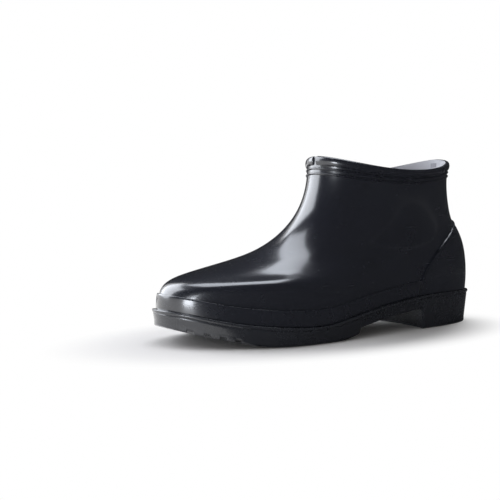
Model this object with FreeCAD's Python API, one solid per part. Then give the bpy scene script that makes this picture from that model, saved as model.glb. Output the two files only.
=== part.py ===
import FreeCAD, Part

import functools
import math
import os

# Ankle-high rubber rain boot, left foot, in millimetres.
# +Z up from the ground, toe towards -Y, outer (lateral) side towards +X.
# The origin is on the ground under the middle of the sole's plan box.

# Overall sizes
SOLE_LENGTH = 285.0        # toe to heel, along Y
BALL_WIDTH = 108.7         # sole width across the ball of the foot
HEEL_RISE = 26.5           # ground to the sole's top edge at the heel
LEG_RISE = 109.5           # sole's top edge to the front of the collar
COLLAR_DIP = 9.5           # how far the collar's sides hang below its front and back
INNER_RIM_DROP = 2.0       # how far the inner side of the collar is lower than the outer

# Walls, from the outside in
COUNTER_WALL = 1.3
FOXING_WALL = 1.4
UPPER_WALL = 1.8
PUFF_WALL = 1.0            # toe puff and heel stiffener
LINING_WALL = 1.4
TAPE_WALL = 0.6
LAYER_GAP = 0.1            # left between two layers that are bonded
SOLE_GAP = 0.4             # foxing and counter to the sole's lip
BED_GAP = 1.2              # footbed edge to the lining

# Strips and patches on the outside
FOXING_HEIGHT = 11.5
COUNTER_TOP = 57.0         # counter's peak at the back, above the sole's top edge
COUNTER_SHOULDER = 31.0    # counter's front corners, above the sole's top edge
COUNTER_ROUND = 5.0        # how far the round of a corner falls below the straight top edge
COUNTER_HALF_ANGLE = 61.8  # from the back of the heel round to the counter's front edge, degrees
COUNTER_LEAN = 9.0         # how far the front edge leans back over its height, degrees
BINDING_HEIGHT = 4.8
BINDING_WALL = 1.5
NOTCH_WIDTH = 2.6          # between the two ends of the binding, at the front
RIB_WIDTH = 1.4
RIB_WALL = 0.9
RIB_DROPS = {"collar_rib_upper": 6.0, "collar_rib_lower": 8.8}   # rim to each rib's top

# Sole unit
LIP_HEIGHT = 2.4           # ledge along the sole's top edge
LIP_PROUD = 0.7
HEEL_LENGTH = 72.0         # back of the heel to its breast
BREAST_SAG = 5.0           # how far the breast is hollowed, seen from below
TOE_LIFT = 13.5            # ground to the underside of the toe's tip
TOE_CURVE = 1.7            # power of the toe spring
WAIST_THICKNESS = 10.0
TREAD_DEPTH = 2.0
TREAD_WIDTH = 4.0
TREAD_PITCH = 9.0
TREAD_LAND = 6.0           # solid border round the closed part of the tread
HEEL_WALL = 8.0            # round the pocket that holds the heel core
HEEL_FLOOR = 8.0
FILLER_THICKNESS = 2.5
FILLER_INSET = 12.0
SHANK_LENGTH = 100.0
SHANK_WIDTH = 13.0
SHANK_THICKNESS = 1.4
SHANK_CENTRE = 30.0        # along Y
BOARD_THICKNESS = 2.0
BED_THICKNESS = 4.0
COVER_THICKNESS = 1.0
POCKET_GAP = 0.2           # filler, shank and core to the pockets round them

# The tables below were drawn for this size; everything is scaled from it.
TABLE_LENGTH, TABLE_WIDTH, TABLE_LEG, TABLE_HEEL = 285.0, 108.7, 109.5, 26.5
LENGTH_SCALE = SOLE_LENGTH / TABLE_LENGTH
WIDTH_SCALE = BALL_WIDTH / TABLE_WIDTH
LEG_SCALE = LEG_RISE / TABLE_LEG
HEEL_SCALE = HEEL_RISE / TABLE_HEEL

# Rings of the upper, from the sole (0) to the collar (1). Each holds the Y of its nose and tail,
# their rise above the sole's top edge, the sideways swing of the nose, the half widths at
# 0, 30 .. 180 degrees from nose to tail, and how much fuller the outer side is at 60, 90, 120.
RINGS = [
    (0.00, -138, 0, 139, 0, -9, (62, 60, 58, 41, 36, 50, 62), (3, 4, 3)),
    (0.12, -137, 12, 140, 13, -9, (62, 59, 55, 40, 36, 50, 62), (3, 4, 3)),
    (0.24, -128, 21, 139, 29, -9, (57, 54, 49, 38, 36, 49, 58), (2, 3, 2)),
    (0.36, -104, 26.5, 135, 43, -8, (49, 46, 42, 36, 37, 46, 52), (0, 1, 0)),
    (0.52, -60, 37.5, 126, 57, -4, (40, 40, 38, 36, 38, 42, 46), (0, 0, 0)),
    (0.68, -26, 61, 120, 72, -1, (38, 38, 37, 38, 39, 41, 42), (0, 0, 0)),
    (0.84, -12, 88, 117, 88, 0, (40, 40, 39, 40, 40, 41, 42), (0, 0, 0)),
    (1.00, -9.5, 109.5, 117, 106, 0, (42, 42, 41, 41, 42, 43, 44), (0, 0, 0)),
]
SOLE_WIDTHS = (66, 63.5, 61.5, 45, 40, 54, 66)
SOLE_FULLER = (3.5, 4.5, 3)
TOE_SWING = -9.0

# Side view of the sole's top edge: Y and height above the ground
SOLE_TOP = [(-142.5, 25.5), (-130, 23), (-110, 18.6), (-85, 15), (-60, 13.2), (-38, 12.8), (-18, 15),
            (4, 18.6), (28, 22), (52, 24.6), (78, 26.5), (105, 27), (142.5, 26.5)]
# Side view of the tread, along Y
TREAD_FLAT_START = -70.0   # the toe springs up in front of this
TREAD_FLAT_END = -28.0
TREAD_END = -4.0           # foot of the step up to the waist

RING_ANGLES = [math.radians(30 * i) for i in range(7)]
AROUND = 48                # samples round a closed ring


def solve_spline(xs, ys, clamped):
    """Second derivatives of the cubic spline through (xs, ys); its end slopes are zero if clamped."""
    n = len(xs)
    diag, rhs, upper = [1.0] * n, [0.0] * n, [0.0] * n
    for i in range(1, n - 1):
        a, b = xs[i] - xs[i - 1], xs[i + 1] - xs[i]
        lower = a
        slopes = (ys[i + 1] - ys[i]) / b - (ys[i] - ys[i - 1]) / a
        if i == 1 and clamped:
            first = xs[1] - xs[0]
            diag[0], upper[0], rhs[0] = 2 * first, first, 6 * (ys[1] - ys[0]) / first
        factor = lower / diag[i - 1]
        diag[i] = 2 * (a + b) - factor * upper[i - 1]
        upper[i] = b
        rhs[i] = 6 * slopes - factor * rhs[i - 1]
    if clamped:
        last = xs[-1] - xs[-2]
        factor = last / diag[n - 2]
        diag[-1] = 2 * last - factor * upper[n - 2]
        rhs[-1] = -6 * (ys[-1] - ys[-2]) / last - factor * rhs[n - 2]
    seconds = [0.0] * n
    seconds[-1] = rhs[-1] / diag[-1]
    for i in range(n - 2, -1, -1):
        seconds[i] = (rhs[i] - upper[i] * seconds[i + 1]) / diag[i]
    return seconds


class Curve:
    """A cubic spline y(x), carried on in a straight line past its ends."""

    def __init__(self, points, clamped=False):
        self.xs = [p[0] for p in points]
        self.ys = [p[1] for p in points]
        self.seconds = solve_spline(self.xs, self.ys, clamped)

    def __call__(self, x):
        inside = min(max(x, self.xs[0]), self.xs[-1])
        i = 0
        while i < len(self.xs) - 2 and inside > self.xs[i + 1]:
            i += 1
        h = self.xs[i + 1] - self.xs[i]
        a, b = (self.xs[i + 1] - inside) / h, (inside - self.xs[i]) / h
        low, high = self.seconds[i], self.seconds[i + 1]
        y = a * self.ys[i] + b * self.ys[i + 1] + ((a ** 3 - a) * low + (b ** 3 - b) * high) * h * h / 6
        slope = (self.ys[i + 1] - self.ys[i]) / h
        slope += ((3 * b * b - 1) * high - (3 * a * a - 1) * low) * h / 6
        return y + slope * (x - inside)


def smooth_step(x):
    """0 below 0, 1 above 1, with flat ends."""
    x = min(max(x, 0.0), 1.0)
    return x * x * (3 - 2 * x)


# Spline weights of the seven half widths, and the rings' values as curves of the level
ANGLE_BASIS = [Curve([(angle, float(i == j)) for i, angle in enumerate(RING_ANGLES)], clamped=True)
               for j in range(7)]


def ring_column(pick):
    return Curve([(ring[0], pick(ring)) for ring in RINGS])


NOSE_Y = ring_column(lambda ring: ring[1] * LENGTH_SCALE)
NOSE_RISE = ring_column(lambda ring: ring[2] * LEG_SCALE)
TAIL_Y = ring_column(lambda ring: ring[3] * LENGTH_SCALE)
TAIL_RISE = ring_column(lambda ring: ring[4] * LEG_SCALE)
SWING = ring_column(lambda ring: ring[5] * WIDTH_SCALE)
WIDTHS = [ring_column(lambda ring, i=i: ring[6][i] * WIDTH_SCALE) for i in range(7)]
FULLER = [ring_column(lambda ring, i=i: ring[7][i] * WIDTH_SCALE) for i in range(3)]
sole_top = Curve([(y * LENGTH_SCALE, z * HEEL_SCALE) for y, z in SOLE_TOP])


@functools.lru_cache(maxsize=None)
def angle_weights(angle):
    """Spline weights of the half widths at an angle from the nose, and the side (+1 outer)."""
    turn = math.remainder(angle, 2 * math.pi)
    return [curve(abs(turn)) for curve in ANGLE_BASIS], (1.0 if turn >= 0 else -1.0), abs(turn)


@functools.lru_cache(maxsize=None)
def level_values(level):
    return (NOSE_Y(level), NOSE_RISE(level), TAIL_Y(level), TAIL_RISE(level), SWING(level),
            [curve(level) for curve in WIDTHS], [curve(level) for curve in FULLER])


def oval(angle, nose, tail, swing, widths, fuller):
    """Plan point on a foot-shaped oval, and how far it is from nose (0) to tail (1)."""
    weights, side, turn = angle_weights(angle)
    width = sum(w * v for w, v in zip(weights, widths))
    width += side * sum(w * v for w, v in zip(weights[2:5], fuller))
    y = (nose + tail) / 2 - (tail - nose) / 2 * math.cos(turn)
    x = swing * ((1 + math.cos(turn)) / 2) ** 2 + side * width * math.sin(turn)
    return x, y, (1 - math.cos(turn)) / 2


def sole_oval(angle):
    x, y, _ = oval(angle, -SOLE_LENGTH / 2, SOLE_LENGTH / 2, TOE_SWING * WIDTH_SCALE,
                   [w * WIDTH_SCALE for w in SOLE_WIDTHS], [w * WIDTH_SCALE for w in SOLE_FULLER])
    return x, y


# The origin is under the middle of the sole's plan box
SOLE_XS = [sole_oval(math.radians(a))[0] for a in range(360)]
CENTRE_X = (max(SOLE_XS) + min(SOLE_XS)) / 2


def skin(level, angle):
    """Point of the upper's outer face: a foot-shaped ring at each level, standing on the sole."""
    nose, nose_rise, tail, tail_rise, swing, widths, fuller = level_values(level)
    x, y, along = oval(angle, nose, tail, swing, widths, fuller)
    turn = math.remainder(angle, 2 * math.pi)
    nose_base, tail_base = sole_top(NOSE_Y(0.0)), sole_top(TAIL_Y(0.0))
    base = nose_base + (tail_base - nose_base) * along
    rise = nose_rise + (tail_rise - nose_rise) * along
    low = max(1 - level / 0.45, 0.0) ** 2          # how much the ring follows the sole's top edge
    high = max((level - 0.45) / 0.55, 0.0) ** 1.5  # how much it follows the collar's dip
    hang = COLLAR_DIP * math.sin(turn) ** 2 + INNER_RIM_DROP * max(-math.sin(turn), 0.0)
    z = base + rise + (sole_top(y) - base) * low - hang * high
    return FreeCAD.Vector(x - CENTRE_X, y, z + LAYER_GAP)


@functools.lru_cache(maxsize=None)
def skin_frame(level, angle):
    """Skin point and its outward normal, which is kept level where the wall meets the sole."""
    step = 1e-3
    point = skin(level, angle)
    up = skin(min(level + step, 1.0), angle) - skin(max(level - step, 0.0), angle)
    round_ = skin(level, angle + step) - skin(level, angle - step)
    normal = round_.cross(up)
    normal.normalize()
    normal.z *= smooth_step(level / 0.1)
    normal.normalize()
    return point, normal


def layer_point(level, angle, offset):
    point, normal = skin_frame(round(level, 6), round(angle, 6))
    return point + normal * offset


@functools.lru_cache(maxsize=None)
def level_at(height, angle):
    """Level at which the skin is this far above the sole's top edge at that angle."""
    low, high = 0.0, 1.0
    base = skin(0.0, angle).z
    for _ in range(30):
        middle = (low + high) / 2
        if skin(middle, angle).z - base < height:
            low = middle
        else:
            high = middle
    return round((low + high) / 2, 6)


def level_below_rim(drop):
    """Level of a line that runs this far below the rim, measured on the leg's side."""
    side = math.radians(90)
    return 1 - 0.05 * drop / (skin(1.0, side) - skin(0.95, side)).Length


def control_points(points, closed):
    """Control points of the uniform cubic spline through the points."""
    control = list(points)
    count = len(points)
    inner = range(count) if closed else range(1, count - 1)
    for _ in range(40):
        for i in inner:
            control[i] = (points[i] * 6 - control[i - 1] - control[(i + 1) % count]) * 0.25
    return control


def clamp(points, control, first, last):
    """The clamped control points of a uniform spline from one sample to another."""
    count = len(points)
    start = (control[first] * 2 + control[(first + 1) % count]) * (1 / 3)
    end = (control[last % count] * 2 + control[(last - 1) % count]) * (1 / 3)
    middle = [control[i % count] for i in range(first + 1, last)]
    return [points[first], start] + middle + [end, points[last % count]]


def control_grid(rows, closed):
    """Turns rows of samples into one control grid, or two half rings if the rows are closed."""
    count = len(rows[0])
    if closed:
        spans = [(0, count // 2), (count // 2, count)]
    else:
        spans = [(0, count - 1)]
    solved = [(row, control_points(row, closed)) for row in rows]
    grids = []
    for first, last in spans:
        across = [clamp(row, control, first, last) for row, control in solved]
        columns = []
        for column in zip(*across):
            column = list(column)
            columns.append(clamp(column, control_points(column, False), 0, len(column) - 1))
        grids.append([list(row) for row in zip(*columns)])
    return grids


def cubic_knots(poles):
    spans = poles - 3
    return [4] + [1] * (spans - 1) + [4], [float(i) for i in range(spans + 1)]


def grid_face(grid):
    surface = Part.BSplineSurface()
    u_mults, u_knots = cubic_knots(len(grid))
    v_mults, v_knots = cubic_knots(len(grid[0]))
    surface.buildFromPolesMultsKnots(grid, u_mults, v_mults, u_knots, v_knots, False, False, 3, 3)
    return surface.toShape()


def edge_face(outer, inner):
    """Ruled strip between two boundary rows of control points."""
    surface = Part.BSplineSurface()
    mults, knots = cubic_knots(len(outer))
    surface.buildFromPolesMultsKnots([outer, inner], [2, 2], mults, [0.0, 1.0], knots, False, False, 1, 3)
    return surface.toShape()


def close_solid(faces):
    solid = Part.Solid(Part.Shell(faces))
    if solid.Volume < 0:
        solid.reverse()
    if not solid.isValid():
        raise ValueError("a layer did not close")
    return solid


def layer(sample, rows, columns, closed):
    """Wall between two sampled faces. sample(s, t) gives (level, angle, outer, inner) for s, t in 0..1."""
    grids = []
    steps = columns if closed else columns - 1
    for side in (2, 3):
        samples = []
        for i in range(rows):
            line = []
            for j in range(columns):
                values = sample(i / (rows - 1), j / steps)
                line.append(layer_point(values[0], values[1], values[side]))
            samples.append(line)
        grids.append(control_grid(samples, closed))
    faces = []
    for outer, inner in zip(*grids):
        faces += [grid_face(outer), grid_face(inner)]
        faces += [edge_face(outer[0], inner[0]), edge_face(outer[-1], inner[-1])]
        if not closed:
            for column in (0, -1):
                faces.append(edge_face([row[column] for row in outer], [row[column] for row in inner]))
    return close_solid(faces)


def band(low, high, outer, inner, rows, notch=0.0):
    """Ring of wall between two levels. A notch leaves an opening of that angle at the nose."""
    def sample(s, t):
        angle = 2 * math.pi * t if not notch else notch / 2 + (2 * math.pi - notch) * t
        level = low + (high - low) * s
        return level, angle, outer(level, angle), inner(level, angle)
    return layer(sample, rows, AROUND if not notch else AROUND + 1, not notch)


def reinforced(level, angle):
    """1 where the toe puff or the heel stiffener lies under the upper, 0 away from them."""
    turn = abs(math.remainder(angle, 2 * math.pi))
    toe = smooth_step((0.46 - level) / 0.08) * smooth_step((math.radians(84) - turn) / 0.2)
    heel = smooth_step((0.66 - level) / 0.08) * smooth_step((turn - math.radians(104)) / 0.2)
    return max(toe, heel)


def lining_outside(level, angle):
    return -(UPPER_WALL + LAYER_GAP + (PUFF_WALL + LAYER_GAP) * reinforced(level, angle))


def lining_inside(level, angle):
    return lining_outside(level, angle) - LINING_WALL


def counter_edge(height):
    """Angle of the counter's front edge at a height above the sole's top edge."""
    lean = COUNTER_LEAN * (max(height, 0.0) / COUNTER_SHOULDER) ** 2
    return math.radians(180 - COUNTER_HALF_ANGLE + lean)


def counter_height(t):
    """Height of the counter's top edge, from its front corner (-1) over the heel to the other (1)."""
    half = math.pi - counter_edge(COUNTER_SHOULDER)
    fall = ((1 - math.cos(half * t)) / (1 - math.cos(half))) ** 1.25
    return COUNTER_TOP - (COUNTER_TOP - COUNTER_SHOULDER - COUNTER_ROUND) * fall - COUNTER_ROUND * t ** 8


def make_upper():
    return band(0.0, 1.0, lambda u, a: 0.0, lambda u, a: -UPPER_WALL, 24)


def make_lining():
    return band(0.03, 1.0, lining_outside, lining_inside, 24)


def make_lining_seam_tape():
    half = math.radians(5)

    def sample(s, t):
        level, angle = 0.5 + 0.48 * s, math.pi - half + 2 * half * t
        outer = lining_inside(level, angle) - LAYER_GAP
        return level, angle, outer, outer - TAPE_WALL
    return layer(sample, 12, 5, False)


def make_reinforcement(centre, half_angle, top):
    """Toe puff or heel stiffener, between the upper and the lining."""
    def sample(s, t):
        level = 0.03 + (top - 0.03) * s
        angle = centre + half_angle * (2 * t - 1) * (1 - 0.25 * s * s)
        outer = -(UPPER_WALL + LAYER_GAP)
        return level, angle, outer, outer - PUFF_WALL + LAYER_GAP
    return layer(sample, 12, 25, False)


def make_foxing():
    seam = math.radians(0.4)

    def sample(s, t):
        height = SOLE_GAP + (FOXING_HEIGHT - SOLE_GAP) * s
        angle = (counter_edge(height) - seam) * (2 * t - 1)
        level = level_at(round(height, 6), round(angle, 6))
        return level, angle, LAYER_GAP + FOXING_WALL, LAYER_GAP
    return layer(sample, 6, 61, False)


def make_counter():
    def sample(s, t):
        across = 2 * t - 1
        height = SOLE_GAP + (counter_height(across) - SOLE_GAP) * s
        edge = counter_edge(COUNTER_SHOULDER * s)
        angle = math.pi + (math.pi - edge) * across
        level = level_at(round(height, 6), round(angle, 6))
        return level, angle, LAYER_GAP + COUNTER_WALL, LAYER_GAP
    return layer(sample, 10, 31, False)


def make_binding():
    rim = skin(1.0, 0.0)
    notch = NOTCH_WIDTH / (skin(1.0, 0.01) - rim).Length * 0.01
    low = level_below_rim(BINDING_HEIGHT)
    return band(low, 1.0, lambda u, a: LAYER_GAP + BINDING_WALL, lambda u, a: LAYER_GAP, 4, notch)


def make_rib(drop):
    low, high = level_below_rim(drop + RIB_WIDTH), level_below_rim(drop)
    return band(low, high, lambda u, a: LAYER_GAP / 2 + RIB_WALL, lambda u, a: LAYER_GAP / 2, 4)


def plan_column(inset, oval_of, low=-20.0, high=80.0):
    """Upright column on the outline, moved inwards by the inset."""
    points = []
    for i in range(AROUND):
        angle = 2 * math.pi * i / AROUND
        x0, y0 = oval_of(angle - 1e-3)
        x1, y1 = oval_of(angle + 1e-3)
        x, y = oval_of(angle)
        along = math.hypot(x1 - x0, y1 - y0)
        points.append(FreeCAD.Vector(x - inset * (y1 - y0) / along, y + inset * (x1 - x0) / along, low))
    curve = Part.BSplineCurve()
    curve.interpolate(Points=points, PeriodicFlag=True)
    return Part.Face(Part.Wire(curve.toShape())).extrude(FreeCAD.Vector(0, 0, high - low))


def centred_sole_oval(angle):
    x, y = sole_oval(angle)
    return x - CENTRE_X, y


def upper_oval(angle):
    point = skin(0.0, angle)
    return point.x, point.y


def side_curve(function, start, end, shift=0.0, steps=28):
    """Side view of a surface, as an edge in the plane X = 0."""
    points = []
    for i in range(steps + 1):
        y = start + (end - start) * i / steps
        points.append(FreeCAD.Vector(0, y, function(y) + shift))
    curve = Part.BSplineCurve()
    curve.interpolate(points)
    return curve.toShape()


def slab(top, low, high, start, end, half_width):
    """Bed of even thickness under a side-view curve: from low to high above it, start to end in Y."""
    upper_edge = side_curve(top, start, end, high)
    lower_edge = side_curve(top, start, end, low)
    ends = []
    for y in (start, end):
        ends.append(Part.makeLine(FreeCAD.Vector(0, y, top(y) + low), FreeCAD.Vector(0, y, top(y) + high)))
    wire = Part.Wire(Part.__sortEdges__([upper_edge, ends[1], lower_edge, ends[0]]))
    solid = Part.Face(wire).extrude(FreeCAD.Vector(2 * half_width, 0, 0))
    solid.translate(FreeCAD.Vector(-half_width, 0, 0))
    return solid


def box(x0, x1, y0, y1, z0, z1):
    return Part.makeBox(x1 - x0, y1 - y0, z1 - z0, FreeCAD.Vector(x0, y0, z0))


HALF_SOLE = SOLE_LENGTH / 2
BREAST_Y = HALF_SOLE - HEEL_LENGTH
WIDE = BALL_WIDTH          # wider than any piece of the sole
OVERRUN = 1.0              # how far cutting shapes run past what they cut
STEP_LEAN = 3.0            # the step up to the waist leans back this much
STEP_Y = TREAD_END * LENGTH_SCALE
FLAT_START = TREAD_FLAT_START * LENGTH_SCALE
FLAT_END = TREAD_FLAT_END * LENGTH_SCALE


def toe_spring(y):
    """Height of the tread in front of its flat."""
    return TOE_LIFT * (max(FLAT_START - y, 0.0) / (FLAT_START + HALF_SOLE)) ** TOE_CURVE


def waist_underside(y):
    return sole_top(y) - WAIST_THICKNESS


def sole_side_face():
    """Side view of the sole: toe spring, flat tread, step, waist, breast and heel.

    It runs past the toe and the heel, which the plan outline cuts to length."""
    front, back = -HALF_SOLE - OVERRUN, HALF_SOLE + OVERRUN
    waist_start = STEP_Y + STEP_LEAN
    step_foot = FreeCAD.Vector(0, STEP_Y, waist_underside(STEP_Y) * 0.45)
    flat_end = FreeCAD.Vector(0, FLAT_END, 0)
    bend_middle = FreeCAD.Vector(0, (FLAT_END + STEP_Y) / 2, step_foot.z * 0.28)
    curves = [
        side_curve(sole_top, front, back),
        side_curve(toe_spring, front, FLAT_START, steps=12),
        side_curve(waist_underside, waist_start, BREAST_Y, steps=10),
        Part.Arc(flat_end, bend_middle, step_foot).toShape(),
    ]
    lines = [
        ((back, sole_top(back)), (back, 0)),
        ((back, 0), (BREAST_Y, 0)),
        ((BREAST_Y, 0), (BREAST_Y, waist_underside(BREAST_Y))),
        ((waist_start, waist_underside(waist_start)), (STEP_Y, step_foot.z)),
        ((FLAT_END, 0), (FLAT_START, 0)),
        ((front, toe_spring(front)), (front, sole_top(front))),
    ]
    for start, end in lines:
        curves.append(Part.makeLine(FreeCAD.Vector(0, *start), FreeCAD.Vector(0, *end)))
    return Part.Face(Part.Wire(Part.__sortEdges__(curves)))


def breast_hollow():
    """Shallow cylinder that hollows the heel's breast across its width."""
    half = 33.0 * WIDTH_SCALE
    radius = (half ** 2 + BREAST_SAG ** 2) / (2 * BREAST_SAG)
    centre = FreeCAD.Vector(0, BREAST_Y + BREAST_SAG - radius, -1.0)
    round_ = Part.makeCylinder(radius, 1.0 + waist_underside(BREAST_Y), centre)
    return round_.common(box(-WIDE, WIDE, BREAST_Y - 1.0, HALF_SOLE, -2.0, WIDE))


def tread_grooves():
    """Grooves across the forefoot and heel; those at the toe run out through the edge."""
    boxes_open, boxes_closed = [], []
    y = -HALF_SOLE + TREAD_PITCH
    while y + TREAD_WIDTH < FLAT_END:
        groove = box(-WIDE, WIDE, y, y + TREAD_WIDTH, -WIDE, WIDE)
        (boxes_open if y < -0.74 * HALF_SOLE else boxes_closed).append(groove)
        y += TREAD_PITCH
    sprung = slab(toe_spring, -5.0, TREAD_DEPTH, -HALF_SOLE - OVERRUN, FLAT_START, WIDE)
    flat = box(-WIDE, WIDE, FLAT_START, FLAT_END, -5.0, TREAD_DEPTH)
    y = BREAST_Y + BREAST_SAG + TREAD_LAND
    heel_boxes = []
    while y + TREAD_WIDTH < HALF_SOLE - TREAD_LAND:
        heel_boxes.append(box(-WIDE, WIDE, y, y + TREAD_WIDTH, -5.0, TREAD_DEPTH))
        y += TREAD_PITCH
    border = plan_column(TREAD_LAND, centred_sole_oval)
    under = sprung.fuse(flat)
    closed = under.common(Part.makeCompound(boxes_closed)).common(border)
    open_ended = under.common(Part.makeCompound(boxes_open))
    heel = Part.makeCompound(heel_boxes).common(border)
    return [closed, open_ended, heel]


def filler_slab(shrink):
    """The forefoot filler, or its pocket when the shrink is zero."""
    start, end = -0.88 * HALF_SOLE + shrink, -0.2 * HALF_SOLE - shrink
    low = -FILLER_THICKNESS + shrink
    high = -shrink if shrink else 1.0
    bed = slab(sole_top, low, high, start, end, WIDE)
    return bed.common(plan_column(FILLER_INSET + shrink, centred_sole_oval))


def shank_slab(shrink):
    start, end = SHANK_CENTRE - SHANK_LENGTH / 2 + shrink, SHANK_CENTRE + SHANK_LENGTH / 2 - shrink
    low = -SHANK_THICKNESS - POCKET_GAP + shrink
    high = -shrink / 2 if shrink else 1.0
    return slab(sole_top, low, high, start, end, SHANK_WIDTH / 2 - shrink)


def heel_core_block(shrink):
    front = SHANK_CENTRE + SHANK_LENGTH / 2 + 2.0
    column = plan_column(LIP_PROUD + HEEL_WALL + shrink, centred_sole_oval)
    top = 1.0 if not shrink else -shrink
    bed = slab(sole_top, -HEEL_RISE + HEEL_FLOOR + shrink, top, front + shrink, HALF_SOLE, WIDE)
    return bed.common(column)


def make_outsole():
    side = sole_side_face().extrude(FreeCAD.Vector(2 * WIDE, 0, 0))
    side.translate(FreeCAD.Vector(-WIDE, 0, 0))
    body = side.common(plan_column(0.0, centred_sole_oval))
    below_lip = slab(sole_top, -2 * HEEL_RISE, -LIP_HEIGHT, -HALF_SOLE - OVERRUN, HALF_SOLE + OVERRUN, WIDE)
    body = body.cut(below_lip.cut(plan_column(LIP_PROUD, centred_sole_oval))).cut(breast_hollow())
    body = body.cut([filler_slab(0), shank_slab(0), heel_core_block(0)])
    return body.cut(tread_grooves())


def make_bed(inset, low, high):
    bed = slab(sole_top, low, high, -HALF_SOLE, HALF_SOLE, WIDE)
    return bed.common(plan_column(inset, upper_oval))


BOARD_LOW = LAYER_GAP
BOARD_HIGH = BOARD_LOW + BOARD_THICKNESS
BED_HIGH = BOARD_HIGH + LAYER_GAP + BED_THICKNESS
COVER_HIGH = BED_HIGH + LAYER_GAP + COVER_THICKNESS
BOARD_INSET = UPPER_WALL + 2 * POCKET_GAP
BED_INSET = UPPER_WALL + PUFF_WALL + LINING_WALL + 3 * LAYER_GAP + BED_GAP


def save(name, shape):
    solids = shape.Solids
    if len(solids) != 1 or not shape.isValid():
        raise ValueError(f"{name}: {len(solids)} solids, valid {shape.isValid()}")
    solids[0].exportStep(f"parts/{name}.step")
    print(f"{name:20s} {solids[0].Volume / 1000:8.2f} cm3")


def main():
    os.makedirs("parts", exist_ok=True)
    save("outsole", make_outsole())
    save("bottom_filler", filler_slab(POCKET_GAP))
    save("shank", shank_slab(POCKET_GAP))
    save("heel_core", heel_core_block(POCKET_GAP))
    save("insole_board", make_bed(BOARD_INSET, BOARD_LOW, BOARD_HIGH))
    save("footbed", make_bed(BED_INSET, BOARD_HIGH + LAYER_GAP, BED_HIGH))
    save("footbed_cover", make_bed(BED_INSET, BED_HIGH + LAYER_GAP, COVER_HIGH))
    save("lining_sock", make_lining())
    save("lining_seam_tape", make_lining_seam_tape())
    save("toe_puff", make_reinforcement(0.0, math.radians(64), 0.36))
    save("heel_stiffener", make_reinforcement(math.pi, math.radians(56), 0.56))
    save("upper", make_upper())
    save("foxing_strip", make_foxing())
    save("heel_counter", make_counter())
    save("collar_binding", make_binding())
    for name, drop in RIB_DROPS.items():
        save(name, make_rib(drop))


main()
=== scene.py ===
import math
import bpy
import bmesh
import numpy as np
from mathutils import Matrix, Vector


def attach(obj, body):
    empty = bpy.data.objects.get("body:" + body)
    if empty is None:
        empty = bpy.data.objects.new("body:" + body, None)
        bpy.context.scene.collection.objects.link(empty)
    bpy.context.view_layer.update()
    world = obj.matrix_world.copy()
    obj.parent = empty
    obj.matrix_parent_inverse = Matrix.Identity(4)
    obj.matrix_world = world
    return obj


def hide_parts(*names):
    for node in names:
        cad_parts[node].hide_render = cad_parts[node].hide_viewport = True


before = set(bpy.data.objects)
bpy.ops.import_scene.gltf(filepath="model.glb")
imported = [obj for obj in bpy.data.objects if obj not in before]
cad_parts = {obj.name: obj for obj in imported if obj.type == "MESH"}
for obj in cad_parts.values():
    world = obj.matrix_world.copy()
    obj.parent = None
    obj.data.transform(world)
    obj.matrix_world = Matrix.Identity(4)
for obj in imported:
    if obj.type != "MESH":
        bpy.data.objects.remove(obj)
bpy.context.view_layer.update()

# An ankle-high rubber rain boot, left foot. Lengths below are in millimetres until a mesh is made.
# Toe towards -Y, outer side towards +X, ground at Z = 0.


def curveThrough(places, values, flatEnds=False):
    # natural cubic spline, or one with level ends; past its ends it runs on straight
    places, values = np.asarray(places, float), np.asarray(values, float)
    gaps = np.diff(places)
    column = (-1,) + (1,) * (values.ndim - 1)
    slopes = np.diff(values, axis=0) / gaps.reshape(column)
    count = len(places)
    system, right = np.eye(count), np.zeros_like(values)
    inner = np.arange(1, count - 1)
    system[inner, inner - 1] = gaps[:-1]
    system[inner, inner] = 2 * (gaps[:-1] + gaps[1:])
    system[inner, inner + 1] = gaps[1:]
    right[inner] = 6 * (slopes[1:] - slopes[:-1])
    if flatEnds:
        system[0, :2] = 2 * gaps[0], gaps[0]
        system[-1, -2:] = gaps[-1], 2 * gaps[-1]
        right[0], right[-1] = 6 * slopes[0], -6 * slopes[-1]
    bends = np.linalg.solve(system, right.reshape(count, -1)).reshape(values.shape)

    def at(x):
        x = np.asarray(x, float)
        i = np.clip(np.searchsorted(places, x, side="right") - 1, 0, count - 2)
        inside = np.clip(x, places[0], places[-1])
        width = gaps[i]
        a, b = (places[i + 1] - inside) / width, (inside - places[i]) / width
        beyond = x - inside
        if values.ndim > 1:
            a, b, width, beyond = a[..., None], b[..., None], width[..., None], beyond[..., None]
        low, high = bends[i], bends[i + 1]
        y = a * values[i] + b * values[i + 1] + ((a ** 3 - a) * low + (b ** 3 - b) * high) * width ** 2 / 6
        slope = slopes[i] + ((3 * b * b - 1) * high - (3 * a * a - 1) * low) * width / 6
        return y + slope * beyond

    return at


def ease(x):
    # 0 up to 0 and 1 from 1 on; between them three times the square less twice the cube
    x = np.clip(x, 0.0, 1.0)
    return x * x * (3 - 2 * x)


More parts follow.
